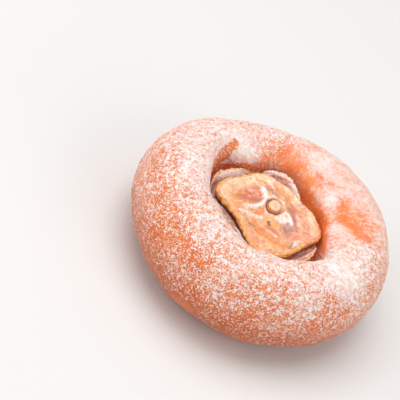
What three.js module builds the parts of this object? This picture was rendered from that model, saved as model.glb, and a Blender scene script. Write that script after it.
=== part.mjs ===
// A dried persimmon, lying on its flattened blossom end with the calyx up.
//
// The peeled fruit was pressed into a thick cushion as it dried. Its rim stands round a pocket, and in the
// pocket lie, from below: the ring of peel that was left round the calyx, the calyx with its four lobes
// trimmed short, and the stub of the stalk. The flesh is drawn into folds that run out from the pocket.
//
// Millimetres, +Z up, origin on the surface that the fruit rests on, under the middle of the fruit.
// Directions are in degrees, anticlockwise from +X as seen from above.

import * as THREE from "three";
import { mergeVertices } from "three/addons/utils/BufferGeometryUtils.js";

// Driving dimensions

const gap = 0.3; // left between pieces that touch

const flesh = {
  columns: 130, // faces round the fruit
  radius: 34.4, // at the equator
  height: 26,
  equator: 12, // height of the widest ring
  crest: 24.4, // radius at which the rim is highest
  rest: 13, // radius of the flat spot below
  scar: { radius: 4.2, depth: 1.1 }, // dimple of the blossom end, in the flat spot
  lip: { radius: 17.1, height: 21.2 }, // where the rim turns down into the pocket
  floor: { radius: 14.6, height: 15.8 },
  core: { radius: 7.2, height: 17.5 }, // stands up through the peel to carry the calyx
};

// The pocket, and all that lies in it, stands a little off the middle of the fruit.
const pocketMiddle = new THREE.Vector2(0, -1.1);

// Waves round the outline, as shares of the radius, and in the height of the rim, in millimetres.
const outlineWaves = [
  { count: 1, size: 0.007, at: -84 },
  { count: 2, size: 0.013, at: 27 },
  { count: 3, size: 0.021, at: 49 },
  { count: 4, size: 0.013, at: -11 },
];
const rimWaves = [
  { count: 1, size: 0.35, at: 200 },
  { count: 2, size: 0.45, at: 20 },
  { count: 3, size: 0.4, at: 75 },
];

// Outlines seen from above: the direction and the distance of each corner, about the pocket's middle.
const lipOutline = [
  [-162, 17.5], [-143, 17.3], [-117, 16.8], [-90, 17.5], [-60, 17.3], [-40, 18.1], [-27, 18.1],
  [-12, 16.1], [5, 15.3], [30, 14.6], [50, 14.6], [70, 15.3], [82, 16.8], [92, 18.6], [110, 17.8],
  [122, 16.7], [138, 16.4], [144, 16.9], [151, 19.6], [158, 19.6], [170, 18.7], [182, 18.1],
];
const peelOutline = [
  [-166, 16.7], [-150, 16.3], [-138, 15.6], [-115, 15.2], [-90, 15.5], [-60, 15.9], [-42, 16.8], [-30, 16.3],
  [-13, 14.9], [0, 14.3], [30, 13.2], [55, 12.4], [70, 13.1], [84, 15.2], [90, 16.9], [96, 17.4],
  [112, 16.5], [122, 15.2], [135, 15.3], [150, 16.0], [164, 16.6], [176, 17.3],
];
const calyxOutline = [
  [-163, 16.2], [-146, 13.0], [-130, 11.6], [-111, 11.8], [-99, 13.6], [-86, 15.6], [-57, 15.0],
  [-37, 13.1], [-22, 12.4], [-7, 12.9], [8, 14.9], [24, 13.7], [42, 12.4], [62, 11.5], [80, 12.0],
  [104, 13.2], [122, 15.1], [134, 13.7], [150, 13.2], [164, 13.8], [180, 15.4],
];

// Folds drawn into the flesh. Each starts at radius `from`, fades out by radius `to` and leans round by
// `lean` degrees on the way. The flesh bulges a little on both sides of it.
const folds = [
  { at: 156, lean: -6, from: 18, to: 22.5, width: 1.8, depth: 1.0 },
  { at: 27, lean: -6, from: 16, to: 29.5, width: 3.2, depth: 1.7 },
  { at: 66, lean: 10, from: 17, to: 28, width: 2.8, depth: 1.0 },
  { at: -20, lean: 8, from: 16.5, to: 22.5, width: 1.8, depth: 1.1 },
  { at: -62, lean: -9, from: 17.5, to: 24, width: 2.2, depth: 0.5 },
  { at: 98, lean: 6, from: 19, to: 30, width: 2.6, depth: 0.7 },
  { at: 214, lean: 9, from: 18, to: 24, width: 2.2, depth: 0.45 },
];

const calyx = {
  columns: 72,
  radius: 13.5,
  top: 20.3, // height of its upper face
  edge: 1.2, // thickness at the edge
  neck: { radius: 7.4, height: 17.8 }, // the thick middle, which sits on the flesh's core
  lobes: [-74, 2, 128, 205], // directions of the four lobes, which shrank unevenly
  ridge: 0.9, // height of the ridge along each lobe
  socket: { radius: 2.2, depth: 0.35, ring: 0.45 }, // holds the stalk's foot, inside a raised ring
  // The socket stands on a swelling, set back from the middle and sloping down to the front. It is stiff
  // out to radius `near`, and the swelling ends at radius `far`.
  seat: { back: 1.8, rise: 0.5, slope: 0.3, near: 3.2, far: 9.5 },
};

const peel = {
  columns: 72,
  hole: 8.6,
  radius: 16, // about which its outline varies
  thickness: 0.8,
  top: 18.0, // height of its upper face where the calyx lies on it
  lift: 2.3, // how far its edge turns up where the calyx leaves it free
};

const stalk = { columns: 28, foot: 1.85, waist: 1.6, head: 1.7, height: 1.9 };

// Shared shaping

const { degToRad, radToDeg, euclideanModulo, smoothstep, lerp } = THREE.MathUtils;

// 1 at the middle, falling away to 0 within about two widths.
const bell = (widths) => Math.exp(-widths * widths);

// The turn from one direction to another, between -180 and 180.
const turn = (from, to) => euclideanModulo(to - from + 180, 360) - 180;

const wave = (waves, angle) =>
  waves.reduce((sum, { count, size, at }) => sum + size * Math.cos(degToRad(count * (angle - at))), 0);

// The distance to the edge of an outline in a direction: straight from corner to corner.
function straightReach(outline, angle) {
  const ahead = outline.map(([at]) => euclideanModulo(at - angle, 360));
  const next = ahead.indexOf(Math.min(...ahead));
  const [fromAt, from] = outline.at(next - 1);
  const [toAt, to] = outline[next];
  const before = degToRad(turn(fromAt, angle));
  const after = degToRad(turn(angle, toAt));
  return (from * to * Math.sin(before + after)) / (from * Math.sin(before) + to * Math.sin(after));
}

// The same with the corners rounded off, as the mean over a few degrees.
function reachOf(outline, angle) {
  const steps = [-6, -4, -2, 0, 2, 4, 6];
  return steps.reduce((sum, step) => sum + straightReach(outline, angle + step), 0) / steps.length;
}

// A quarter turn of a profile that leaves one point level or upright and reaches the next one square to
// that. A fullness of 0.55 is an ellipse, and more is squarer. The first point is left out.
function quarterTurn(from, to, { level, fullness = 0.55, steps }) {
  const [x0, y0, x1, y1] = [...from, ...to];
  const near = level ? [lerp(x0, x1, fullness), y0] : [x0, lerp(y0, y1, fullness)];
  const far = level ? [x1, lerp(y1, y0, fullness)] : [lerp(x1, x0, fullness), y1];
  const curve = new THREE.CubicBezierCurve(
    new THREE.Vector2(x0, y0),
    new THREE.Vector2(...near),
    new THREE.Vector2(...far),
    new THREE.Vector2(x1, y1),
  );
  return curve.getPoints(steps).slice(1);
}

// A body turned about +Z, then reshaped: `shape` takes each point as { radius, angle, height } and
// returns its new radius and height, and how far it is carried along with the pocket's middle.
function turned(profile, columns, shape) {
  const geometry = new THREE.LatheGeometry(profile, columns).rotateX(Math.PI / 2);
  const position = geometry.getAttribute("position");
  for (let i = 0; i < position.count; i++) {
    const [x, y] = [position.getX(i), position.getY(i)];
    const angle = radToDeg(Math.atan2(y, x));
    const place = { radius: Math.hypot(x, y), angle, height: position.getZ(i) };
    const { radius, height, carried = 1 } = shape(place);
    const across = new THREE.Vector2(radius, 0).rotateAround(new THREE.Vector2(), degToRad(angle));
    across.addScaledVector(pocketMiddle, carried);
    position.setXYZ(i, across.x, across.y, height);
  }
  geometry.deleteAttribute("normal");
  geometry.deleteAttribute("uv");
  return mergeVertices(geometry, 1e-4);
}

// Puts each point of a surface where `move` takes it.
function moved(geometry, move) {
  const position = geometry.getAttribute("position");
  const point = new THREE.Vector3();
  for (let i = 0; i < position.count; i++) {
    const { x, y, z } = move(point.fromBufferAttribute(position, i), i);
    position.setXYZ(i, x, y, z);
  }
  return geometry;
}

// Moves each point of a closed surface along its own normal.
function swell(geometry, amount) {
  geometry.computeVertexNormals();
  const normal = geometry.getAttribute("normal");
  const away = new THREE.Vector3();
  return moved(geometry, (point, i) =>
    point.addScaledVector(away.fromBufferAttribute(normal, i), amount(point)),
  );
}

const made = (name, geometry, look) => {
  geometry.computeVertexNormals();
  const mesh = new THREE.Mesh(geometry, new THREE.MeshStandardMaterial({ metalness: 0, ...look }));
  mesh.name = name;
  return mesh;
};

// Flesh: one piece, with the pocket and its folds

function fleshProfile() {
  const { radius, height, equator, crest, rest, scar, lip, floor, core } = flesh;
  const wall = [lip.radius, lerp(floor.height, lip.height, 0.5)];
  return [
    new THREE.Vector2(0, scar.depth),
    new THREE.Vector2(scar.radius * 0.35, scar.depth * 0.85),
    new THREE.Vector2(scar.radius * 0.7, scar.depth * 0.3),
    new THREE.Vector2(scar.radius, 0),
    new THREE.Vector2(lerp(scar.radius, rest, 0.5), 0),
    new THREE.Vector2(rest, 0),
    ...quarterTurn([rest, 0], [radius, equator], { level: true, fullness: 0.62, steps: 9 }),
    ...quarterTurn([radius, equator], [crest, height], { level: false, fullness: 0.6, steps: 9 }),
    ...quarterTurn([crest, height], [lip.radius, lip.height], { level: true, fullness: 0.52, steps: 7 }),
    new THREE.Vector2(...wall),
    ...quarterTurn(wall, [floor.radius, floor.height], { level: false, steps: 3 }),
    new THREE.Vector2(core.radius + 1.2, floor.height),
    new THREE.Vector2(core.radius + 0.4, lerp(floor.height, core.height, 0.5)),
    new THREE.Vector2(core.radius, core.height),
    new THREE.Vector2(core.radius * 0.5, core.height),
    new THREE.Vector2(0, core.height),
  ];
}

function fleshShape({ radius, angle, height }) {
  const { crest, lip, floor, core } = flesh;
  // Outside, the waves of the outline grow from the pocket to the equator.
  const outside = smoothstep(radius, lip.radius, flesh.radius);
  const inPocket = height > floor.height - 0.01 && radius < crest + 0.01 ? 1 : 0;
  const nearPocket = inPocket * (1 - smoothstep(radius, lip.radius, crest));
  const wall = nearPocket * smoothstep(radius, core.radius + 2, floor.radius);
  const rim = smoothstep(height, inPocket ? floor.height + 2 : flesh.equator, flesh.height);
  return {
    radius: radius * (1 + outside * wave(outlineWaves, angle)) + wall * (reachOf(lipOutline, angle) - lip.radius),
    height: height + rim * wave(rimWaves, angle),
    carried: nearPocket,
  };
}

// How far the folds draw the flesh in at a point, with the bulges beside them.
function foldDepth({ x, y, z }) {
  const radius = Math.hypot(x, y);
  const angle = radToDeg(Math.atan2(y, x));
  const above = smoothstep(z, flesh.equator, flesh.lip.height);
  return folds.reduce((sum, fold) => {
    const along = (radius - fold.from) / (fold.to - fold.from);
    const middle = fold.at + fold.lean * THREE.MathUtils.clamp(along, 0, 1);
    const across = (degToRad(turn(middle, angle)) * radius) / fold.width;
    const fade = smoothstep(along, -0.25, 0.05) * (1 - smoothstep(along, 0.25, 1));
    return sum - above * fade * fold.depth * (bell(across) - 0.35 * bell(across / 2.4));
  }, 0);
}

const fleshMesh = made(
  "flesh",
  swell(turned(fleshProfile(), flesh.columns, fleshShape), foldDepth),
  { color: 0xe0946a, roughness: 0.75 },
);

// Calyx: a plate with four trimmed lobes, a ridge along each and a hollow between them

function calyxProfile() {
  const { radius, top, edge, neck, socket } = calyx;
  const under = top - edge;
  return [
    new THREE.Vector2(0, neck.height),
    new THREE.Vector2(neck.radius, neck.height),
    new THREE.Vector2(neck.radius + 0.7, lerp(neck.height, under, 0.6)),
    new THREE.Vector2(neck.radius + 1.8, under),
    new THREE.Vector2(lerp(neck.radius, radius, 0.7), under),
    new THREE.Vector2(radius - 0.25, under),
    new THREE.Vector2(radius, lerp(under, top, 0.35)),
    new THREE.Vector2(radius - 0.1, lerp(under, top, 0.8)),
    new THREE.Vector2(radius - 0.6, top),
    ...[0.88, 0.79, 0.7, 0.61, 0.52, 0.43, 0.34].map((share) => new THREE.Vector2(radius * share, top)),
    new THREE.Vector2(socket.radius + 1.1, top),
    new THREE.Vector2(socket.radius + 0.6, top),
    new THREE.Vector2(socket.radius + 0.2, top),
    new THREE.Vector2(socket.radius, top - socket.depth),
    new THREE.Vector2(0, top - socket.depth),
  ];
}

function calyxShape({ radius, angle, height }) {
  const { top, edge, neck, ridge, lobes, socket } = calyx;
  const out = radius / calyx.radius;
  const spread = smoothstep(radius, neck.radius, neck.radius + 2);
  const face = smoothstep(height, top - edge * 0.5, top) * smoothstep(radius, socket.radius, socket.radius + 0.2);
  const onLobe = lobes.reduce((sum, at) => sum + bell(turn(at, angle) / 24), 0);
  const ring = socket.ring * bell((radius - socket.radius - 0.4) / 0.8);
  const brim = 0.35 * bell((out - 0.93) / 0.1);
  const relief = ridge * (onLobe - 0.5) * bell((out - 0.45) / 0.25) + ring + brim;
  const droop = height > neck.height + edge * 0.3 ? -0.4 * smoothstep(out, 0.6, 1) * (onLobe - 0.5) : 0;
  return {
    radius: lerp(radius, out * reachOf(calyxOutline, angle), spread),
    height: height + face * relief + droop,
  };
}

// The upper face, with the socket in it, drawn back and tilted on its swelling.
function seated({ x, y, z }) {
  const { top, edge, socket, seat } = calyx;
  const upper = smoothstep(z, top - edge, top - socket.depth);
  const along = y - pocketMiddle.y;
  const share = upper * (1 - smoothstep(Math.hypot(x - pocketMiddle.x, along), seat.near, seat.far));
  return { x, y: y + share * seat.back, z: z + share * (seat.rise + seat.slope * along) };
}

const calyxMesh = made("calyx", moved(turned(calyxProfile(), calyx.columns, calyxShape), seated), {
  color: 0xe8a060,
  roughness: 0.35,
});

// Peel ring: a thin collar under the calyx, its edge turned up where the calyx leaves it free

function peelProfile() {
  const shares = [0, 0.25, 0.5, 0.66, 0.78, 0.88, 0.96, 1];
  const at = (share, height) => new THREE.Vector2(lerp(peel.hole, peel.radius, share), height);
  const under = shares.map((share) => at(share, 0));
  const over = shares.map((share) => at(share, peel.thickness)).reverse();
  return [...under, ...over, under[0]];
}

function peelShape({ radius, angle, height }) {
  const out = (radius - peel.hole) / (peel.radius - peel.hole);
  const stretched = lerp(peel.hole, reachOf(peelOutline, angle), out);
  const free = stretched - reachOf(calyxOutline, angle);
  const lift = peel.lift * smoothstep(free, 0.2, 2.3);
  return { radius: stretched, height: peel.top - peel.thickness + height + lift };
}

const peelMesh = made("peel_ring", turned(peelProfile(), peel.columns, peelShape), {
  color: 0xa9796a,
  roughness: 0.6,
});

// Stalk stub: a short round stub with a flared foot and a cut end that dried to a low dome

function stalkProfile() {
  const { foot, waist, head, height } = stalk;
  const brim = [head, height * 0.72];
  return [
    new THREE.Vector2(0, 0),
    new THREE.Vector2(foot - 0.15, 0),
    new THREE.Vector2(foot, 0.2),
    new THREE.Vector2(foot - 0.05, height * 0.25),
    new THREE.Vector2(waist, height * 0.5),
    new THREE.Vector2(...brim),
    ...quarterTurn(brim, [head * 0.65, height], { level: false, steps: 4 }),
    new THREE.Vector2(head * 0.35, height + 0.03),
    new THREE.Vector2(0, height),
  ];
}

const stalkMesh = made(
  "stalk_stub",
  turned(stalkProfile(), stalk.columns, ({ radius, height }) => ({ radius, height, carried: 0 })),
  { color: 0xe6b478, roughness: 0.5 },
);

// The stub stands square on its sloping seat.
const lean = Math.atan(calyx.seat.slope);
stalkMesh.rotation.x = lean;
stalkMesh.position.set(
  pocketMiddle.x,
  pocketMiddle.y + calyx.seat.back,
  calyx.top - calyx.socket.depth + calyx.seat.rise + gap / Math.cos(lean),
);

// The whole fruit, its middle over the origin

const persimmon = new THREE.Group();
persimmon.add(fleshMesh, peelMesh, calyxMesh, stalkMesh);

const middle = new THREE.Box3().setFromObject(persimmon).getCenter(new THREE.Vector3());
persimmon.position.set(-middle.x, -middle.y, 0);

export default persimmon;
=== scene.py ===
import math

import bmesh
import bpy
from mathutils import Matrix, Vector, noise


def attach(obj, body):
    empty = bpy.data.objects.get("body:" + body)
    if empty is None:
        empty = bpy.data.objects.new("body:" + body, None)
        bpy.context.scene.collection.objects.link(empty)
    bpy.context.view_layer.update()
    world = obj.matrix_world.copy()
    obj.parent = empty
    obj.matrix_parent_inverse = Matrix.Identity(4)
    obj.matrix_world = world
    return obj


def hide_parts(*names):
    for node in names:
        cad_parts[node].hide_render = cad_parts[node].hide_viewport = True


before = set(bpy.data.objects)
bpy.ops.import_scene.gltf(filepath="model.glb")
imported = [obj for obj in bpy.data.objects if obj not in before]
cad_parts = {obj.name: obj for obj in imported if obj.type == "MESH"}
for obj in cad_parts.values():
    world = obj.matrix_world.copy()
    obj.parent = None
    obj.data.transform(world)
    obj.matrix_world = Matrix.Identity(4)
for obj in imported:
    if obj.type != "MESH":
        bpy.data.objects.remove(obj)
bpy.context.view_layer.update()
print("frame loaded:", ", ".join(sorted(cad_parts)))

mm = 0.001  # Blender works in metres; the shapes below are given in millimetres
pocketMiddle = Vector((0.6, -0.6))  # the middle of the pocket, in plan


# Shaping helpers. Points and lengths in them are millimetres.

def smoothstep(low, high, value):
    share = min(1, max(0, (value - low) / (high - low)))
    return share * share * (3 - 2 * share)


def bell(widths):
    return math.exp(-widths * widths)


def lumps(point, size, seed, octaves=1):
    # noise between about -1 and 1, with lumps of the given size
    return noise.fractal(point / size + Vector((seed, 2 * seed, -seed)), 0.9, 2.1, octaves)


def besidePath(point, path):
    # distance from a point to a line of points, and how far along the line that is, 0 to 1
    nearest, along = 1e9, 0
    for step, (start, end) in enumerate(zip(path, path[1:])):
        run = end - start
        offset = point - start
        share = min(1, max(0, offset.dot(run) / run.length_squared))
        distance = (offset - share * run).length
        if distance < nearest:
            nearest, along = distance, (step + share) / (len(path) - 1)
    return nearest, along


def line(*points):
    return [Vector(point) for point in points]


def copyOfNode(nodeName, pieceName, cell):
    # a piece that starts from a CAD node's mesh: merged, paired into quads, smoothed and remeshed
    shape = bmesh.new()
    shape.from_mesh(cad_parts[nodeName].data)
    bmesh.ops.remove_doubles(shape, verts=shape.verts, dist=0.002 * mm)
    bmesh.ops.join_triangles(
        shape,
        faces=shape.faces,
        angle_face_threshold=math.radians(60),
        angle_shape_threshold=math.radians(70),
    )
    mesh = bpy.data.meshes.new(pieceName)
    shape.to_mesh(mesh)
    shape.free()
    piece = bpy.data.objects.new(pieceName, mesh)
    bpy.context.scene.collection.objects.link(piece)
    smooth = piece.modifiers.new("smooth", "SUBSURF")
    smooth.levels = smooth.render_levels = 1
    even = piece.modifiers.new("even cells", "REMESH")
    even.mode = "VOXEL"
    even.voxel_size = cell * mm
    applyModifiers(piece)
    return piece


def applyModifiers(piece):
    depsgraph = bpy.context.evaluated_depsgraph_get()
    mesh = bpy.data.meshes.new_from_object(piece.evaluated_get(depsgraph))
    piece.modifiers.clear()
    piece.data = mesh


def pushOut(piece, amount):
    # moves each vertex along its normal by amount(point, normal), all worked out before any is moved
    shape = bmesh.new()
    shape.from_mesh(piece.data)
    shape.normal_update()
    pushes = [amount(vert.co / mm, vert.normal) * mm for vert in shape.verts]
    for vert, push in zip(shape.verts, pushes):
        vert.co += push * vert.normal
    shape.normal_update()
    shape.to_mesh(piece.data)
    shape.free()


def paint(piece, name, value):
    # stores value(point, normal) at each vertex, a number or a colour, for the material to read
    values = [value(vert.co / mm, vert.normal) for vert in piece.data.vertices]
    if isinstance(values[0], Vector):
        layer = piece.data.attributes.new(name, "FLOAT_COLOR", "POINT")
        layer.data.foreach_set("color", [part for colour in values for part in (*colour, 1)])
    else:
        layer = piece.data.attributes.new(name, "FLOAT", "POINT")
        layer.data.foreach_set("value", values)


def rimShares(piece):
    # a function for how far out a point is, from 0 at the pocket's middle to 1 at the piece's rim
    def sector(out):
        return int(math.degrees(math.atan2(out.y, out.x)) % 360 / 2)

    reach = [0] * 180
    for vert in piece.data.vertices:
        out = vert.co.xy / mm - pocketMiddle
        reach[sector(out)] = max(reach[sector(out)], out.length)

    def share(point):
        out = point.xy - pocketMiddle
        return out.length / reach[sector(out)]

    return share


def facing(point, direction):
    # 1 on the side of the pocket that the direction points to, -1 on the other side
    return (point.xy - pocketMiddle).normalized().dot(direction)


def finishPiece(piece, material, nodeName=None, smooth=True):
    piece.data.materials.clear()
    piece.data.materials.append(material)
    for face in piece.data.polygons:
        face.use_smooth = smooth
    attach(piece, "root")
    if nodeName:
        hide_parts(nodeName)
    print(piece.name + ":", len(piece.data.polygons), "faces")


# Node helpers, for materials and for the tree that scatters the grains

class NodeSetup:
    # add() makes a node; each of its sockets is set to a value or joined to another node's output
    def __init__(self, tree):
        self.tree = tree

    def add(self, kind, sockets=None, **settings):
        made = self.tree.nodes.new(kind)
        for name, value in settings.items():
            setattr(made, name, value)
        for name, value in (sockets or {}).items():
            self.put(made.inputs[name], value)
        return made

    def put(self, socket, value):
        if isinstance(value, bpy.types.NodeSocket):
            self.tree.links.new(value, socket)
        else:
            socket.default_value = value


shaderSockets = {
    "colour": "Base Color",
    "roughness": "Roughness",
    "normal": "Normal",
    "specular": "Specular IOR Level",
    "soft": "Subsurface Weight",
    "softRadius": "Subsurface Radius",
    "softScale": "Subsurface Scale",
    "coat": "Coat Weight",
    "coatRoughness": "Coat Roughness",
}


class Look(NodeSetup):
    # a material, with the nodes that this fruit's finishes share
    def __init__(self, name):
        self.material = bpy.data.materials.new(name)
        self.material.use_nodes = True
        super().__init__(self.material.node_tree)
        self.shader = self.tree.nodes["Principled BSDF"]
        self.place = self.add("ShaderNodeTexCoord").outputs["Object"]

    def noise(self, size, detail=2, roughness=0.5, distortion=0):
        # noise with lumps of about the given size in millimetres
        sockets = {
            "Vector": self.place,
            "Scale": 1 / (size * mm),
            "Detail": detail,
            "Roughness": roughness,
            "Distortion": distortion,
        }
        return self.add("ShaderNodeTexNoise", sockets).outputs["Fac"]

    def cells(self, size):
        # cells of about the given size: the distance from each one's middle, and its random value
        made = self.add("ShaderNodeTexVoronoi", {"Vector": self.place, "Scale": 1 / (size * mm)})
        chance = self.add("ShaderNodeSeparateColor", {0: made.outputs["Color"]})
        return made.outputs["Distance"], chance.outputs[0]

    def height(self):
        return self.add("ShaderNodeSeparateXYZ", {0: self.place}).outputs["Z"]

    def painted(self, name):
        return self.add("ShaderNodeAttribute", attribute_name=name).outputs["Fac"]

    def paintedColour(self, name):
        return self.add("ShaderNodeAttribute", attribute_name=name).outputs["Color"]

    def maths(self, operation, first, second=0.0):
        return self.add("ShaderNodeMath", {0: first, 1: second}, operation=operation).outputs[0]

    def mixture(self, *parts):
        # the sum of some values, each with its own weight
        total = None
        for value, weight in parts:
            weighted = self.maths("MULTIPLY", value, weight)
            total = self.maths("ADD", total, weighted) if total else weighted
        return total

    def span(self, value, low, high, toLow=0.0, toHigh=1.0):
        # a value between low and high, carried to the range from toLow to toHigh
        sockets = {"Value": value, "From Min": low, "From Max": high, "To Min": toLow, "To Max": toHigh}
        made = self.add("ShaderNodeMapRange", sockets, interpolation_type="SMOOTHSTEP")
        return made.outputs["Result"]

    def blend(self, amount, first, second):
        # a colour that goes from the first to the second as the amount goes from 0 to 1
        return self.add("ShaderNodeMix", {0: amount, 6: first, 7: second}, data_type="RGBA").outputs[2]

    def bump(self, height, distance, strength=1.0, below=None):
        sockets = {"Height": height, "Distance": distance * mm, "Strength": strength}
        if below:
            sockets["Normal"] = below
        return self.add("ShaderNodeBump", sockets).outputs["Normal"]

    def shade(self, **sockets):
        for name, value in sockets.items():
            self.put(self.shader.inputs[shaderSockets[name]], value)


# Flesh: the pressed, dried body of the fruit, under its sugar bloom

def crease(width, depth, *points):
    # a fold along a line in plan
    return {"path": line(*points), "width": width, "depth": depth}


def bareLine(width, soft, amount, *points, upright=1):
    # a line with hardly any bloom: soft is the part of the width over which it thins out,
    # and upright is how much heights count in the distance from the line
    return {"path": line(*points), "width": width, "soft": soft, "amount": amount, "upright": upright}


flesh = {
    "cell": 0.4,  # edge length of its fine mesh
    # folds sharper than the ones it is modelled with
    "creases": [
        crease(2.0, 0.6, (14.8, 13.4), (16.0, 9.6), (18.6, 6.4), (23.5, 4.6)),
        crease(1.1, 0.8, (15.4, -6.0), (17.2, -8.6), (18.6, -9.6)),
        crease(1.6, 0.6, (-1.5, -19.6), (0.8, -20.8), (3.0, -20.8)),
    ],
    "relief": [(0.28, 9, 3), (0.09, 2.6, 11)],  # lumps of the surface: height, size and seed
    "fineRelief": (0.06, 0.85, 23),
    # the share that the bloom covers low down, what it gains up the side and on top, and its variation
    "bloom": {"low": 0.09, "side": 0.21, "top": 0.16, "varies": 0.07, "least": 0.03, "most": 0.95},
    "bloomHeights": {"side": (5, 19), "top": (21, 26), "pocketFloor": (16.5, 18.5)},
    "pocket": {"reach": 22, "above": 15},  # how far out, and from which height, it counts as the pocket
    # places where it covers more, and then less, than it does around: place, size, change
    "patches": [
        ((-20, -3, 26), 6, 0.20), ((-18, -13, 26.5), 4.5, 0.20), ((-9, -21.5, 26), 4, 0.12),
        ((2, -25, 25.5), 4.5, 0.12), ((12, -22, 25.6), 5, 0.15), ((20, -11, 25.3), 6.5, 0.32),
        ((25, -15, 24), 6, 0.3), ((-18, 9, 26), 5, 0.22), ((-25, 5, 25), 6, 0.12),
        ((-8, 24, 26), 6, 0.1),
        ((-15, 12, 24), 4, 0.28), ((-13.6, 9.8, 22), 2.6, 0.35), ((-10.6, 11.8, 22), 2.2, 0.28),
        ((16, 3, 23.5), 2.5, 0.3), ((12, 11, 24.3), 2.5, 0.25), ((6, 21, 25.8), 4, 0.15),
        ((27, 0, 24), 6, 0.1), ((-2, -33, 18.5), 3, 0.2), ((1.6, -31, 22.4), 2.5, 0.15),
        ((19, -25, 21), 4, 0.2), ((-9, -30, 17), 3, 0.1),
        ((-29, -10, 23), 4, -0.12), ((-21, -21, 24), 3, -0.12), ((-18.3, -17.6, 26.4), 2, -0.15),
        ((-19, -25, 20), 3.5, -0.14), ((-13.5, -28.8, 21), 3.5, -0.14), ((-8, -31, 20.5), 3, -0.14),
        ((-19, -27, 15.5), 3.5, -0.08), ((-18, -28, 10), 4, -0.08), ((-6, -33.7, 11), 4, -0.08),
        ((7, -34, 12.5), 4, -0.08), ((2.5, -33, 19.5), 2, -0.1),
        ((15.5, 12, 25), 2, -0.28), ((17, 9, 24), 2, -0.3), ((20, 6, 25), 2.5, -0.34),
        ((24, 3.5, 25.5), 3, -0.32), ((20, 11, 25), 2.2, -0.18), ((24.3, 10, 25.3), 2, -0.14),
        ((-5, 19, 24.3), 3.5, -0.26), ((-7.6, 14.4, 21.5), 2.5, -0.18),
        ((0, 18, 22.5), 3, -0.24), ((5, 15.8, 23), 2.5, -0.3), ((7, 18, 24.6), 1, -0.2),
        ((10.4, 16, 25.2), 1.2, -0.2), ((12.7, 19.8, 26), 1.2, -0.15),
        ((27.7, -17, 20), 2.5, -0.2), ((23, -20, 22.8), 2, -0.2), ((22.4, -25, 17), 2.5, -0.2),
    ],
    # the slit, the foot of its wall, and the walls above and to the right of the calyx
    "bareLines": [
        bareLine(
            1.15, 0.2, 0.85,
            (-16.6, 10.6, 23.9), (-17.4, 8.5, 22.9), (-17.7, 5.5, 22), (-17.5, 1, 21), (-16.8, -4, 20),
            upright=0.3,
        ),
        bareLine(
            0.9, 0.3, 0.97,
            (-16.7, 7.9, 16.9), (-15.8, 8.9, 17.6), (-14.4, 9.3, 18.5), (-12.9, 9.7, 19.4),
            (-11.5, 10.5, 19.7), (-9.8, 12.1, 18.9), (-8.4, 13.4, 19),
        ),
        bareLine(1.6, 0.8, 0.2, (-7, 15, 20), (-3, 17.3, 20.5), (1, 17.5, 20.5), (4.5, 15.5, 20)),
        bareLine(
            1.9, 0.8, 0.85,
            (5.5, 14.5, 19.5), (8.5, 12, 19.5), (11.5, 9, 20), (14, 5.5, 20), (16, 1, 20), (16, -2, 20),
        ),
        bareLine(1.2, 0.5, 0.85, (15.5, -4, 21), (16.5, -8, 21.5), (17, -10.5, 21)),
    ],
    # where the bloom is a film: its middle, how far it is a full film, where it ends, and how much
    "films": [((12, 14, 23), 13, 24, 1), ((-12, 15, 25), 3, 13, 0.5)],
    # fine cross ripples of the skin on the ridge beside the pocket
    "ripples": {"middle": (15, 4, 23.5), "size": 5, "every": 0.9, "height": 0.1, "bared": 0.25},
    "paintedShade": (20, 6),  # heights between which painted shade darkens its side
    # the finish: sizes of its patterns, and the sums of them at which the haze and the powder set in
    "patterns": {"specks": 0.25, "powder": 0.34, "clumps": 1.1, "blotches": 4.5},
    "hazeEdge": (0.64, 0.88),
    "powderEdge": (0.505, 0.565),
    "colours": {
        "deep": (0.92, 0.21, 0.035, 1),
        "bright": (0.95, 0.29, 0.075, 1),
        "haze": (0.93, 0.46, 0.31, 1),  # a thin film of sugar over it
        "paleHaze": (0.95, 0.60, 0.49, 1),
        "low": (0.52, 0.105, 0.018, 1),  # painted shade low on the side, and underneath
        "bare": (0.95, 0.21, 0.035, 1),  # where it has hardly any bloom
        # painted shade between the powder grains
        "grainShadow": (0.44, 0.11, 0.045, 1),
        "powder": (0.96, 0.72, 0.65, 1),
        "palePowder": (1.0, 0.91, 0.89, 1),
        # the powder under painted shade, low on the side
        "shadedPowder": (0.72, 0.36, 0.24, 1),
        "film": (0.90, 0.51, 0.41, 1),
        "paleFilm": (0.96, 0.80, 0.77, 1),
    },
}


def creaseDepth(point):
    depth = 0
    for fold in flesh["creases"]:
        distance, along = besidePath(point.xy, fold["path"])
        ends = smoothstep(0, 0.2, along) * (1 - smoothstep(0.75, 1, along))
        depth += fold["depth"] * bell(distance / fold["width"]) * (0.35 + 0.65 * ends)
    return depth * smoothstep(15, 20, point.z)


def rippleAt(point):
    # the ripples, between -1 and 1
    ripples = flesh["ripples"]
    where = (point - Vector(ripples["middle"])).length / ripples["size"]
    across = point.y + 0.7 * lumps(point, 2, 17)
    return bell(where) * math.sin(math.tau * across / ripples["every"])


def fleshRelief(point, normal):
    resting = smoothstep(0.2, 3, point.z)  # the flat spot stays flat
    lift = sum(height * lumps(point, size, seed, 2) for height, size, seed in flesh["relief"])
    return resting * (lift + flesh["ripples"]["height"] * rippleAt(point))


def fineRelief(point, normal):
    height, size, seed = flesh["fineRelief"]
    return smoothstep(0.1, 2, point.z) * height * lumps(point, size, seed, 2)


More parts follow.
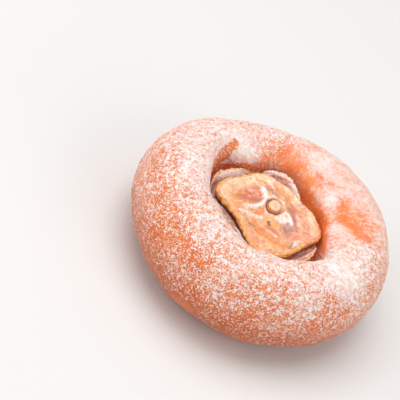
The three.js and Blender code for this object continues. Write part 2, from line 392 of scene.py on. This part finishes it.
def bloomCover(point, normal):
    # the share of the surface that the bloom covers
    bloom = flesh["bloom"]
    heights = flesh["bloomHeights"]
    pocket = flesh["pocket"]
    cover = bloom["low"] + bloom["side"] * smoothstep(*heights["side"], point.z)
    cover += bloom["top"] * smoothstep(*heights["top"], point.z)
    cover += bloom["varies"] * lumps(point, 6, 5, 2)
    cover += sum(
        change * bell((point - Vector(place)).length / size)
        for place, size, change in flesh["patches"]
    )
    if point.z > pocket["above"] and (point.xy - pocketMiddle).length < pocket["reach"]:
        for bare in flesh["bareLines"]:
            upright = Vector((1, 1, bare["upright"]))
            distance = besidePath(point * upright, [place * upright for place in bare["path"]])[0]
            reach = distance / bare["width"] + 0.2 * lumps(point, 0.9, 27)
            cover *= 1 - bare["amount"] * smoothstep(1 + bare["soft"], 1 - bare["soft"], reach)
        cover *= smoothstep(*heights["pocketFloor"], point.z)
    cover -= flesh["ripples"]["bared"] * max(0, -rippleAt(point))
    return min(bloom["most"], max(bloom["least"], cover))


def filmShare(point, normal):
    # how far the bloom is a smooth film rather than grains
    return max(
        amount * smoothstep(far, near, (point - Vector(middle)).length)
        for middle, near, far, amount in flesh["films"]
    )


def grainCover(point, normal):
    # how thickly the sugar grains lie: none on the underside, few low down and in the film
    outsideFilm = 1 - 0.8 * filmShare(point, normal)
    return bloomCover(point, normal) * outsideFilm * smoothstep(1, 13, point.z)


def fleshMaterial():
    look = Look("frosted_flesh")
    shades = flesh["colours"]
    sizes = flesh["patterns"]
    cover = look.painted("bloom")
    filmSide = look.painted("film")
    specks = look.noise(sizes["specks"], detail=2)
    distance, chance = look.cells(sizes["powder"])
    clumps = look.noise(sizes["clumps"], detail=2)
    blotches = look.noise(sizes["blotches"], detail=3, roughness=0.6)
    # painted shade: the side grows darker towards the bottom, in its colour, haze and powder
    darkFrom, darkTo = flesh["paintedShade"]
    lowShade = look.span(look.height(), darkFrom * mm, darkTo * mm)

    # a thin haze of sugar lies on most of the flesh, and leaves its deepest orange bare in patches
    haze = look.mixture((clumps, 0.6), (blotches, 0.4), (cover, 0.55), (lowShade, -0.2))
    deep = look.blend(look.span(blotches, 0.35, 0.65), shades["deep"], shades["bright"])
    hazy = look.blend(look.span(clumps, 0.3, 0.7), shades["haze"], shades["paleHaze"])
    ground = look.blend(look.span(haze, *flesh["hazeEdge"]), deep, hazy)
    # painted shade low on the side and underneath
    ground = look.blend(lowShade, ground, shades["low"])
    ground = look.blend(look.span(cover, 0.10, 0.04), ground, shades["bare"])

    # painted shade between the powder grains shows where neither the bloom nor the film lies thick
    grainShadows = look.mixture((specks, 0.7), (distance, -0.2), (lowShade, -0.04))
    thin = look.maths("SUBTRACT", 1.0, look.maths("MAXIMUM", cover, filmSide))
    grainShadows = look.maths("MULTIPLY", look.span(grainShadows, 0.25, 0.18, 0, 0.9), thin)
    ground = look.blend(grainShadows, ground, shades["grainShadow"])

    # powder lies on it in small grains: where the bloom is thicker, they are larger and more
    powder = look.mixture(
        (distance, -0.20),
        (chance, 0.24),
        (specks, 0.48),
        (clumps, 0.3),
        (cover, 0.25),
        (lowShade, -0.02),
    )
    powder = look.span(powder, *flesh["powderEdge"])
    white = look.blend(look.span(clumps, 0.35, 0.65), shades["powder"], shades["palePowder"])
    # the powder, too, is painted darker low on the side: painted shade
    white = look.blend(look.maths("MULTIPLY", lowShade, 0.8), white, shades["shadedPowder"])
    powdered = look.blend(powder, ground, white)

    # elsewhere the bloom is a pink film, white only where it is thickest
    filmCover = look.mixture((clumps, 0.6), (blotches, 0.4), (specks, 0.8), (cover, 1.0))
    film = look.blend(look.span(cover, 0.35, 0.7), shades["film"], shades["paleFilm"])
    film = look.blend(look.span(filmCover, 1.03, 1.38), ground, film)
    filmSpecks = look.span(look.mixture((specks, 1.0), (cover, 0.3)), 0.63, 0.73, 0, 0.7)
    film = look.blend(filmSpecks, film, white)

    look.shade(
        colour=look.blend(look.maths("MULTIPLY", filmSide, 0.75), powdered, film),
        roughness=look.span(powder, 0, 1, 0.42, 0.8),
        normal=look.bump(look.mixture((powder, 0.6), (specks, 0.6)), 0.14, 0.7),
        specular=0.4,
        soft=0.5,
        softRadius=(1.0, 0.38, 0.14),
        softScale=3 * mm,
    )
    return look.material


def makeFlesh():
    piece = copyOfNode("flesh", "frosted_flesh", flesh["cell"])
    pushOut(piece, lambda point, normal: -creaseDepth(point))
    pushOut(piece, fleshRelief)
    paint(piece, "bloom", bloomCover)
    paint(piece, "film", filmShare)
    paint(piece, "grains", grainCover)
    pushOut(piece, fineRelief)
    finishPiece(piece, fleshMaterial(), "flesh")
    return piece


frostedFlesh = makeFlesh()


# Sugar grains: the coarser crystals of the bloom, standing on the flesh

sugar = {
    # grains to a square millimetre of full bloom, and half the length, width and height of a grain
    "sizes": {
        "fine_sugar": {
            "seed": 3,
            "grainsPerMm2": 7,
            "smallest": (0.08, 0.08, 0.06),
            "largest": (0.18, 0.16, 0.14),
        },
        "coarse_sugar": {
            "seed": 8,
            "grainsPerMm2": 1.0,
            "smallest": (0.14, 0.12, 0.1),
            "largest": (0.26, 0.22, 0.18),
        },
    },
    "colour": (0.97, 0.80, 0.74, 1),
    "paleColour": (1.0, 0.94, 0.92, 1),
}


def sugarMaterial():
    look = Look("sugar_crystal")
    tint = look.noise(1.1, detail=2)
    look.shade(
        colour=look.blend(look.span(tint, 0.35, 0.65), sugar["colour"], sugar["paleColour"]),
        roughness=look.span(tint, 0, 1, 0.3, 0.5),
        specular=0.6,
    )
    return look.material


def scatterGrains(host, name, settings, material):
    piece = bpy.data.objects.new(name, host.data.copy())
    bpy.context.scene.collection.objects.link(piece)
    tree = bpy.data.node_groups.new(name, "GeometryNodeTree")
    for direction in ("INPUT", "OUTPUT"):
        tree.interface.new_socket("Geometry", in_out=direction, socket_type="NodeSocketGeometry")
    setup = NodeSetup(tree)
    surface = setup.add("NodeGroupInput").outputs["Geometry"]
    share = setup.add("GeometryNodeInputNamedAttribute", {"Name": "grains"}).outputs["Attribute"]
    density = setup.add(
        "ShaderNodeMath",
        {0: share, 1: settings["grainsPerMm2"] / mm**2},
        operation="MULTIPLY",
    )
    spots = setup.add(
        "GeometryNodeDistributePointsOnFaces",
        {"Mesh": surface, "Density": density.outputs[0], "Seed": settings["seed"]},
    )
    grain = setup.add("GeometryNodeMeshUVSphere", {"Segments": 4, "Rings": 2, "Radius": mm})
    turn = setup.add(
        "FunctionNodeRandomValue",
        {1: (math.tau,) * 3, 8: settings["seed"]},
        data_type="FLOAT_VECTOR",
    )
    size = setup.add(
        "FunctionNodeRandomValue",
        {0: settings["smallest"], 1: settings["largest"], 8: settings["seed"] + 1},
        data_type="FLOAT_VECTOR",
    )
    placed = setup.add(
        "GeometryNodeInstanceOnPoints",
        {
            "Points": spots.outputs["Points"],
            "Instance": grain.outputs["Mesh"],
            "Rotation": turn.outputs[0],
            "Scale": size.outputs[0],
        },
    )
    grains = setup.add("GeometryNodeRealizeInstances", {"Geometry": placed.outputs["Instances"]})
    setup.add("NodeGroupOutput", {"Geometry": grains.outputs["Geometry"]})
    piece.modifiers.new("grains", "NODES").node_group = tree
    applyModifiers(piece)
    finishPiece(piece, material, smooth=False)


crystal = sugarMaterial()
for sugarName, sugarSettings in sugar["sizes"].items():
    scatterGrains(frostedFlesh, sugarName, sugarSettings, crystal)


# Calyx: the glossy plate over the pocket's floor

def stroke(colour, width, amount, *points, height=0):
    # a streak of colour along a line in plan; height is how far it stands up or, below 0, sinks in
    return {"colour": colour, "width": width, "amount": amount, "path": line(*points), "height": height}


calyx = {
    "cell": 0.2,
    "stalkSeat": Vector((0.59, 1.23)),  # the middle of the socket, in plan
    # its lower left edge is cut further back than the rest
    "cutBack": {"middle": Vector((-10.2, -7.4)), "reach": 6, "by": Vector((0.65, 0.9))},
    "relief": [(0.10, 1.6, 4, 2), (0.25, 4.5, 9, 1)],  # lumps: height, size, seed and octaves
    "veins": {"count": 55, "height": 0.07, "pink": 0.45, "cream": 0.4},  # run out from the stalk
    "wrinkles": {"across": 13, "height": 0.15, "pink": 0.55, "cream": 0.75},  # run along the rim
    "ragged": 0.3,  # how far its rim is torn in and out
    "front": Vector((-0.6, -0.8)),  # the way that the bright part of its rim faces
    # how far out the parts of the rim lie, with 1 at the very edge, and how wide its two lines are
    "rim": {"gold": (0.91, 0.94), "line": 0.90, "lineWidth": 0.012, "tears": 0.925, "tearWidth": 0.01},
    "collar": {"radius": 2.75, "width": 0.4},  # the white ring round the socket, partly pale tissue and partly painted highlight
    "socket": {"from": 2.4, "to": 2.15},  # radii between which the socket's colour sets in
    "colours": {
        # pale tissue, with a painted highlight on the ridges, the rim's crinkles and the collar
        "white": Vector((1.0, 0.93, 0.90)),
        "cream": Vector((0.96, 0.72, 0.46)),
        "pink": Vector((0.82, 0.34, 0.23)),
        "tan": Vector((0.88, 0.39, 0.13)),
        "gold": Vector((0.95, 0.45, 0.10)),
        "orange": Vector((0.85, 0.26, 0.04)),
        "rose": Vector((0.66, 0.13, 0.06)),
        "mauve": Vector((0.42, 0.18, 0.16)),
        "brown": Vector((0.22, 0.08, 0.03)),
        "grey": Vector((0.16, 0.12, 0.13)),
        "socket": Vector((0.42, 0.16, 0.07)),
        "cutSide": Vector((0.70, 0.30, 0.08)),
        "reddish": (0.70, 0.17, 0.06, 1),
        # painted highlight
        "shine": (1.0, 0.82, 0.68, 1),
    },
    # streaks of colour and relief over the tan plate, from the broadest to the finest; the white ones
    # on its ridges are partly pale tissue and partly painted highlight
    "strokes": [
        stroke("cream", 2.4, 0.75, (-13.4, -0.5), (-11.5, 2.5), (-9, 5)),
        stroke("cream", 1.8, 0.6, (-13.6, -1.5), (-12.1, -2.8), (-9.6, -4.5)),
        stroke("cream", 1.3, 0.6, (-7.6, 7.8), (-6.6, 10.4), (-2.7, 10.6), (0.8, 10.8), (4, 9.5)),
        stroke("orange", 2.2, 0.7, (0.9, -9.8), (6.6, -9.7)),
        stroke("orange", 1.8, 0.7, (-2.5, -6.5), (0.5, -9)),
        stroke("orange", 1.5, 0.7, (-3, 8.2), (-1, 8.4), (1.5, 7.5)),
        stroke("orange", 1.3, 0.7, (-9.5, -2.8), (-7.5, -4.6)),
        stroke("pink", 2.5, 0.6, (7, -5), (9, -3.5)),
        stroke("pink", 1.6, 0.65, (8, 6.5), (10.5, 2), (11.5, -3)),
        stroke("rose", 2.1, 0.85, (-7.4, -0.8), (-5.6, 0), (-6.2, 1.6), (-5, 3.2), height=-0.35),
        stroke("rose", 1.3, 0.7, (4.5, 5.8), (6.1, 2.8), (7.5, 0), height=-0.3),
        stroke("mauve", 1.3, 0.75, (4.6, 3.2), (5.8, 1.0), (7.5, -1.5), height=-0.1),
        stroke("mauve", 1.5, 0.9, (5.3, -1.6), (6.3, -3.2), height=-0.2),
        stroke("mauve", 0.8, 0.8, (-5.3, 6.3), (-2.6, 5.2), (-0.3, 4.6), height=-0.25),
        stroke("mauve", 1.0, 0.8, (-4.5, 0.4), (-3.6, 1.0), height=-0.1),
        stroke("rose", 1.0, 0.6, (1.5, -6.2), (4.1, -6.6), height=-0.1),
        stroke("orange", 1.1, 0.9, (-4.8, -2.0), (-2.9, -3), (-1.2, -1.8), height=-0.15),
        stroke("white", 0.45, 0.7, (2.0, -7.3), (4.5, -7.7), height=0.1),
        stroke("cream", 0.4, 0.6, (-1, -5.4), (1.5, -7.2), height=0.08),
        stroke("white", 0.5, 0.6, (6.6, 3.4), (8.3, 0.3), height=0.12),
        stroke("cream", 0.8, 0.7, (9.2, 6.1), (11.5, 3), (12.4, 0.1), height=0.1),
        stroke("white", 0.7, 0.7, (-3.8, 9.4), (-2.2, 7.9), height=0.1),
        stroke(
            "white", 0.65, 1,
            (-5.2, -3.3), (-3.0, -1.3), (-2.3, 0.2), (-2.2, 1.8), (-3.5, 3.6), (-4.8, 5.3),
            height=0.45,
        ),
        stroke("cream", 0.8, 0.8, (-4.8, 5.3), (-6.9, 7.0), (-7.8, 7.7), height=0.25),
        stroke(
            "white", 0.55, 0.85,
            (-6.2, -6.2), (-5.5, -5.9), (-3.6, -5.0), (-2.1, -4.0), (-0.9, -3.4),
            height=0.45,
        ),
        stroke("white", 0.9, 1, (3.0, -1.3), (4.6, -0.6), height=0.15),
        stroke(
            "white", 0.62, 1,
            (3.0, -0.6), (3.8, 0.6), (4.6, 1.0), (5.6, 0.3), (6.4, -0.6),
            height=0.45,
        ),
        stroke("white", 0.4, 1, (9.4, -7.0), (9.5, -6.2), (10, -5.2), height=0.45),
        stroke("brown", 0.25, 0.7, (8.9, -9.2), (9.2, -7.8), (9.0, -6.4), height=-0.3),
        stroke("brown", 0.45, 1, (1.4, -3.8), (1.9, -4.6), height=-0.5),
        stroke("grey", 0.4, 0.85, (-2.5, -8.2), (-1.3, -8.2), height=-0.25),
        stroke("brown", 0.3, 0.9, (-6.4, 2.1), (-6.3, 2.2), height=-0.2),
        stroke("brown", 0.25, 0.8, (-7.6, 2.1), (-7.5, 2.2), height=-0.15),
    ],
}


def calyxVein(point):
    # streaks that run out from the stalk, between about -1 and 1
    out = point.xy - calyx["stalkSeat"]
    around = math.atan2(out.y, out.x) + 0.2 * lumps(point, 5, 13)
    ring = calyx["veins"]["count"] / math.tau
    where = Vector((ring * math.cos(around), ring * math.sin(around), 0.22 * out.length))
    return lumps(where, 1, 6, 2)


def calyxWrinkle(point, out):
    # streaks that run along the rim, between about -1 and 1, and none near the stalk
    around = math.atan2(*(point.xy - calyx["stalkSeat"])) + 0.1 * lumps(point, 3, 41)
    across = calyx["wrinkles"]["across"] * out + 0.5 * lumps(point, 4, 15)
    where = Vector((4 * math.cos(around), 4 * math.sin(around), across))
    return smoothstep(0.35, 0.6, out) * lumps(where, 1, 9, 3)


def cutBackEdge(piece):
    cut = calyx["cutBack"]
    share = rimShares(piece)
    for vert in piece.data.vertices:
        point = vert.co / mm
        near = bell((point.xy - cut["middle"]).length / cut["reach"])
        vert.co.xy += near * smoothstep(0.5, 0.95, share(point)) * cut["by"] * mm


def calyxRelief(share):
    def heightAt(point, normal):
        out = share(point)
        height = sum(
            lift * lumps(point, size, seed, octaves)
            for lift, size, seed, octaves in calyx["relief"]
        )
        height += calyx["veins"]["height"] * calyxVein(point)
        height += calyx["wrinkles"]["height"] * calyxWrinkle(point, out)
        for mark in calyx["strokes"]:
            if mark["height"]:
                distance = besidePath(point.xy, mark["path"])[0]
                height += mark["height"] * bell(distance / mark["width"])
        clearOfStalk = smoothstep(2.3, 3.0, (point.xy - calyx["stalkSeat"]).length)
        ragged = calyx["ragged"] * smoothstep(0.9, 0.97, out) * lumps(point, 0.9, 21, 2)
        return smoothstep(0.2, 0.7, normal.z) * clearOfStalk * height + ragged

    return heightAt


def paintRim(colour, point, out):
    # golden, most of all at the front, with a broken white line inside it, partly painted highlight on
    # its crinkled edge, and brown tears
    shades = calyx["colours"]
    rim = calyx["rim"]
    edge = out + 0.012 * lumps(point, 0.7, 8, 2)
    frontRim = smoothstep(-0.5, 0.1, facing(point, calyx["front"]))
    broken = smoothstep(-0.2, 0.3, lumps(point, 2.5, 33))
    torn = frontRim * smoothstep(-0.1, 0.3, lumps(point, 1.5, 14))
    colour = colour.lerp(shades["gold"], (0.3 + 0.5 * frontRim) * smoothstep(*rim["gold"], edge))
    paleLineAndHighlight = bell((edge - rim["line"]) / rim["lineWidth"])
    colour = colour.lerp(shades["white"], 0.5 * paleLineAndHighlight * broken)
    return colour.lerp(shades["brown"], 0.6 * torn * bell((edge - rim["tears"]) / rim["tearWidth"]))


def paintSeat(colour, point, normal):
    # a broken white collar round the socket, partly pale tissue and partly painted highlight, the
    # socket, cream on its right, and the plate's side
    shades = calyx["colours"]
    collar = calyx["collar"]
    socket = calyx["socket"]
    fromStalk = (point.xy - calyx["stalkSeat"]).length
    broken = smoothstep(-0.4, 0.2, lumps(point, 1.2, 19))
    ring = bell((fromStalk - collar["radius"]) / collar["width"])
    colour = colour.lerp(shades["white"], 0.8 * ring * broken)
    rightSide = smoothstep(0, 2, point.x - calyx["stalkSeat"].x)
    inSocket = shades["socket"].lerp(shades["cream"], rightSide)
    colour = colour.lerp(inSocket, smoothstep(socket["from"], socket["to"], fromStalk))
    cutSide = smoothstep(0.35, 0, normal.z) * smoothstep(4, 6, fromStalk)
    return colour.lerp(shades["cutSide"], 0.7 * cutSide)


def calyxPainter(share):
    shades = calyx["colours"]

    def colourAt(point, normal):
        out = share(point)
        wrinkle = calyxWrinkle(point, out)
        vein = calyxVein(point)
        pink = calyx["wrinkles"]["pink"] + 0.4 * smoothstep(-1, 5, point.x)  # more on its right
        cream = calyx["wrinkles"]["cream"]
        colour = shades["tan"].lerp(shades["cream"], 0.15 + 0.15 * lumps(point, 3, 2))
        colour = colour.lerp(shades["pink"], pink * smoothstep(0.05, 0.3, wrinkle))
        colour = colour.lerp(shades["cream"], cream * smoothstep(0.05, 0.3, -wrinkle))
        for mark in calyx["strokes"]:
            distance = besidePath(point.xy, mark["path"])[0]
            edge = max(0, distance / mark["width"] + 0.4 * lumps(point, 0.9, 31, 3))
            colour = colour.lerp(shades[mark["colour"]], mark["amount"] * bell(edge * edge))
        colour = colour.lerp(shades["pink"], calyx["veins"]["pink"] * smoothstep(0.1, 0.5, vein))
        colour = colour.lerp(shades["cream"], calyx["veins"]["cream"] * smoothstep(0.1, 0.55, -vein))
        colour = paintRim(colour, point, out)
        return paintSeat(colour, point, normal)

    return colourAt


def calyxMaterial():
    look = Look("dry_calyx")
    shades = calyx["colours"]
    painted = look.paintedColour("strokes")
    streaks = look.noise(1.1, detail=4, roughness=0.65, distortion=0.8)
    fine = look.noise(0.4, detail=3)
    flecks = look.noise(0.55, detail=2, distortion=0.6)
    reddish = look.blend(0.55, painted, shades["reddish"])
    colour = look.blend(look.span(streaks, 0.47, 0.36), painted, reddish)
    # painted highlight along the raised streaks
    colour = look.blend(look.span(streaks, 0.56, 0.70, 0, 0.55), colour, shades["shine"])
    colour = look.blend(look.span(flecks, 0.40, 0.34, 0, 0.4), colour, reddish)
    look.shade(
        colour=colour,
        roughness=look.span(fine, 0.2, 0.8, 0.25, 0.45),
        normal=look.bump(streaks, 0.2, 0.6, look.bump(fine, 0.05, 0.4)),
        coat=0.4,
        coatRoughness=0.15,
        soft=0.15,
        softRadius=(1.0, 0.5, 0.2),
        softScale=0.8 * mm,
    )
    return look.material


def makeCalyx():
    piece = copyOfNode("calyx", "calyx_plate", calyx["cell"])
    cutBackEdge(piece)
    share = rimShares(piece)
    pushOut(piece, calyxRelief(share))
    paint(piece, "strokes", calyxPainter(share))
    finishPiece(piece, calyxMaterial(), "calyx")
    return piece


calyxPlate = makeCalyx()


# Peel ring: the collar of skin under the calyx, with a frayed edge

peel = {
    "cell": 0.2,
    "relief": (0.1, 1.2, 6),  # its lumps: height, size and seed
    "streaks": 0.15,  # height of the streaks along it
    "fray": 0.3,  # how far the edge is torn in and out
    "lift": 1.0,  # how far its left side climbs up the wall
    "leftSide": Vector((-0.77, -0.64)),
    "lowerLeft": Vector((-0.66, -0.75)),  # the way that its mauve and lilac part faces
    "dark": Vector((0.22, 0.055, 0.025)),
    "bare": Vector((0.56, 0.15, 0.09)),
    "dusty": Vector((0.70, 0.31, 0.22)),
    "film": Vector((0.98, 0.80, 0.74)),
    "edge": Vector((0.88, 0.52, 0.27)),
    "mauve": Vector((0.38, 0.15, 0.10)),
    "lilac": Vector((0.80, 0.60, 0.60)),
    "dust": (0.97, 0.80, 0.76, 1),
    "stain": (0.36, 0.10, 0.05, 1),
}


def peelStreak(point):
    # streaks that run along the ring, between about -1 and 1
    out = point.xy - pocketMiddle
    around = math.atan2(out.y, out.x)
    where = Vector((3.5 * math.cos(around), 3.5 * math.sin(around), out.length / 0.7))
    return lumps(where, 1, 12, 2)


def peelRelief(share):
    lift, size, seed = peel["relief"]

    def heightAt(point, normal):
        height = lift * lumps(point, size, seed, 2) + peel["streaks"] * peelStreak(point)
        return height + peel["fray"] * smoothstep(0.93, 1, share(point)) * lumps(point, 0.7, 2, 2)

    return heightAt


def peelPainter(share):
    def colourAt(point, normal):
        out = share(point) + 0.02 * lumps(point, 0.8, 3)
        streak = peelStreak(point)
        # its far side is redder, with a pale film at the edge
        farSide = smoothstep(2, 8, point.y) * smoothstep(-9, -5, point.x)
        upperLeft = smoothstep(-10, -12, point.x) * smoothstep(-1, 2, point.y)
        lowerLeft = smoothstep(0.5, 0.85, facing(point, peel["lowerLeft"]))
        dusty = smoothstep(0.68 + 0.14 * farSide, 0.8 + 0.12 * farSide, out)
        dustStreak = dusty * smoothstep(-0.35, 0.25, streak) * (1 - 0.8 * farSide)
        rim = smoothstep(0.95, 0.975, out)
        colour = peel["dark"].lerp(peel["bare"], smoothstep(0.64, 0.78, out))
        colour = colour.lerp(peel["dusty"], dustStreak)
        colour = colour.lerp(peel["film"], 0.65 * dusty * smoothstep(0.15, 0.5, streak))
        colour = colour.lerp(peel["film"], 0.8 * upperLeft * smoothstep(0.84, 0.9, out))
        colour = colour.lerp(peel["film"], 0.85 * farSide * smoothstep(0.88, 0.94, out))
        colour = colour.lerp(peel["mauve"], 0.9 * lowerLeft * smoothstep(0.3, 0, streak))
        colour = colour.lerp(peel["lilac"], 0.8 * lowerLeft * smoothstep(0.05, 0.4, streak))
        colour = colour.lerp(peel["dark"], 0.8 * smoothstep(-0.35, -0.6, streak))
        return colour.lerp(peel["edge"], rim * (1 - 0.6 * farSide) * (1 - 0.8 * lowerLeft))

    return colourAt


def peelMaterial():
    look = Look("dusty_peel")
    painted = look.paintedColour("skin")
    dust = look.noise(0.5, detail=4, roughness=0.65)
    colour = look.blend(look.span(dust, 0.50, 0.64, 0, 0.5), painted, peel["dust"])
    colour = look.blend(look.span(dust, 0.46, 0.36, 0, 0.6), colour, peel["stain"])
    look.shade(
        colour=colour,
        roughness=0.5,
        normal=look.bump(dust, 0.2, 0.8),
        coat=0.15,
        coatRoughness=0.3,
    )
    return look.material


def makePeelRing():
    piece = copyOfNode("peel_ring", "peel_collar", peel["cell"])
    share = rimShares(piece)
    calyxShare = rimShares(calyxPlate)
    for vert in piece.data.vertices:
        point = vert.co / mm
        leftSide = smoothstep(0.35, 0.8, facing(point, peel["leftSide"]))
        besideCalyx = smoothstep(0.99, 1.07, calyxShare(point))  # none of it climbs under the calyx
        vert.co.z += peel["lift"] * leftSide * besideCalyx * mm
    pushOut(piece, peelRelief(share))
    paint(piece, "skin", peelPainter(share))
    finishPiece(piece, peelMaterial(), "peel_ring")


makePeelRing()


# Stalk stub: a short round stub with a pale cut end

stalk = {
    "cell": 0.09,
    "axis": Vector((0, -0.287, 0.958)),  # it leans to the front
    "foot": Vector((0.59, 1.23, 20.75)),
    "relief": (0.06, 0.8, 3),  # its lumps: height, size and seed
    "spread": 0.4,  # how much wider its foot grows where it meets the calyx
    "lean": (-0.35, -0.55),  # how far the foot and then the cut end stand further to the front
    "cutFrom": 1.5,  # height along the axis where the side turns into the cut end
    "bark": Vector((0.60, 0.22, 0.09)),
    "paleBark": Vector((0.88, 0.46, 0.24)),
    "ring": Vector((0.20, 0.06, 0.02)),
    "cut": Vector((0.90, 0.57, 0.36)),
    "heart": Vector((0.80, 0.38, 0.19)),
    "fleck": (0.62, 0.26, 0.11, 1),
}


def alongStalk(point):
    return (point - stalk["foot"]).dot(stalk["axis"])


def stalkRelief(point, normal):
    sideways = 1 - abs(normal.dot(stalk["axis"]))
    foot = stalk["spread"] * smoothstep(0.5, 0, alongStalk(point)) * smoothstep(0.3, 0.8, sideways)
    lift, size, seed = stalk["relief"]
    return foot + lift * lumps(point, size, seed, 2)


def stalkColour(point, normal):
    rise = alongStalk(point) + 0.05 * lumps(point, 0.5, 4)
    middle = stalk["foot"] + stalk["cutFrom"] * stalk["axis"]
    offCentre = (point - middle - (point - middle).dot(stalk["axis"]) * stalk["axis"]).length
    pale = smoothstep(0.2, 1.0, rise) * (0.7 + 0.3 * lumps(point, 0.6, 7))
    colour = stalk["bark"].lerp(stalk["paleBark"], pale)
    ringed = smoothstep(-0.35, 0.2, lumps(point, 1.3, 17))
    colour = colour.lerp(stalk["ring"], 0.9 * ringed * bell((rise - stalk["cutFrom"]) / 0.13))
    outer = smoothstep(0.2, 0.9, offCentre + 0.7 * lumps(point, 0.7, 5))
    cutEnd = stalk["heart"].lerp(stalk["cut"], outer)
    return colour.lerp(cutEnd, smoothstep(stalk["cutFrom"], stalk["cutFrom"] + 0.25, rise))


def stubMaterial():
    look = Look("cut_stalk")
    fine = look.noise(0.35, detail=3)
    painted = look.paintedColour("grain")
    look.shade(
        colour=look.blend(look.span(fine, 0.42, 0.28, 0, 0.5), painted, stalk["fleck"]),
        roughness=0.35,
        normal=look.bump(fine, 0.08, 0.5),
        coat=0.3,
        coatRoughness=0.2,
        soft=0.1,
        softScale=0.6 * mm,
    )
    return look.material


def makeStub():
    piece = copyOfNode("stalk_stub", "stalk_end", stalk["cell"])
    pushOut(piece, stalkRelief)
    paint(piece, "grain", stalkColour)
    atFoot, further = stalk["lean"]
    for vert in piece.data.vertices:
        vert.co.y += (atFoot + further * smoothstep(0, 2, alongStalk(vert.co / mm))) * mm
    finishPiece(piece, stubMaterial(), "stalk_stub")


makeStub()


# Floor, light and camera

stage = {
    "floor": (0.80, 0.79, 0.78, 1),
    "floorSize": 2,  # half its width, in metres
    "skyColour": (1, 0.99, 0.98, 1),
    "sky": 0.47,
    "lights": [
        {"name": "key", "from": (-0.16, 0.08, 0.85), "size": 0.8, "power": 4.5},
        {"name": "left fill", "from": (-0.6, -0.25, 0.4), "size": 0.6, "power": 1.5},
        {"name": "right fill", "from": (0.6, -0.3, 0.4), "size": 0.6, "power": 1.4},
    ],
}


def makeFloor():
    shape = bmesh.new()
    bmesh.ops.create_grid(shape, x_segments=1, y_segments=1, size=stage["floorSize"])
    mesh = bpy.data.meshes.new("floor")
    shape.to_mesh(mesh)
    shape.free()
    floor = bpy.data.objects.new("floor", mesh)
    bpy.context.scene.collection.objects.link(floor)
    look = Look("pale_floor")
    look.shade(colour=stage["floor"], roughness=0.8)
    mesh.materials.append(look.material)


def makeLights():
    world = bpy.data.worlds.new("studio")
    world.use_nodes = True
    sky = world.node_tree.nodes["Background"]
    sky.inputs["Color"].default_value = stage["skyColour"]
    sky.inputs["Strength"].default_value = stage["sky"]
    bpy.context.scene.world = world
    for light in stage["lights"]:
        data = bpy.data.lights.new(light["name"], "AREA")
        data.shape = "DISK"
        data.size = light["size"]
        data.energy = light["power"]
        lamp = bpy.data.objects.new(light["name"], data)
        bpy.context.scene.collection.objects.link(lamp)
        lamp.location = light["from"]
        lamp.rotation_euler = (-Vector(light["from"])).to_track_quat("-Z", "Y").to_euler()


camera = {
    "lens": 100,
    "sensor": 36,
    "target": (0.6, 0.5, 13),  # the middle of the fruit
    "distance": 285,
    "elevation": 39.9,
    "roll": 31.5,
    "turnLeft": 3.14,  # so that the fruit stands to the right of the picture's middle
    "turnUp": 1.49,  # and below it
}


def makeCamera():
    data = bpy.data.cameras.new("camera")
    data.lens = camera["lens"]
    data.sensor_width = camera["sensor"]
    seat = bpy.data.objects.new("camera", data)
    bpy.context.scene.collection.objects.link(seat)
    lookDown = Matrix.Rotation(math.radians(90 - camera["elevation"]), 4, "X")
    back = lookDown @ Vector((0, 0, camera["distance"] * mm))
    turned = (
        lookDown
        @ Matrix.Rotation(math.radians(camera["roll"]), 4, "Z")
        @ Matrix.Rotation(math.radians(camera["turnLeft"]), 4, "Y")
        @ Matrix.Rotation(math.radians(camera["turnUp"]), 4, "X")
    )
    seat.matrix_world = Matrix.Translation(Vector(camera["target"]) * mm + back) @ turned
    bpy.context.scene.camera = seat


makeFloor()
makeLights()
makeCamera()
bpy.context.scene.view_settings.view_transform = "Standard"
print("stage set")
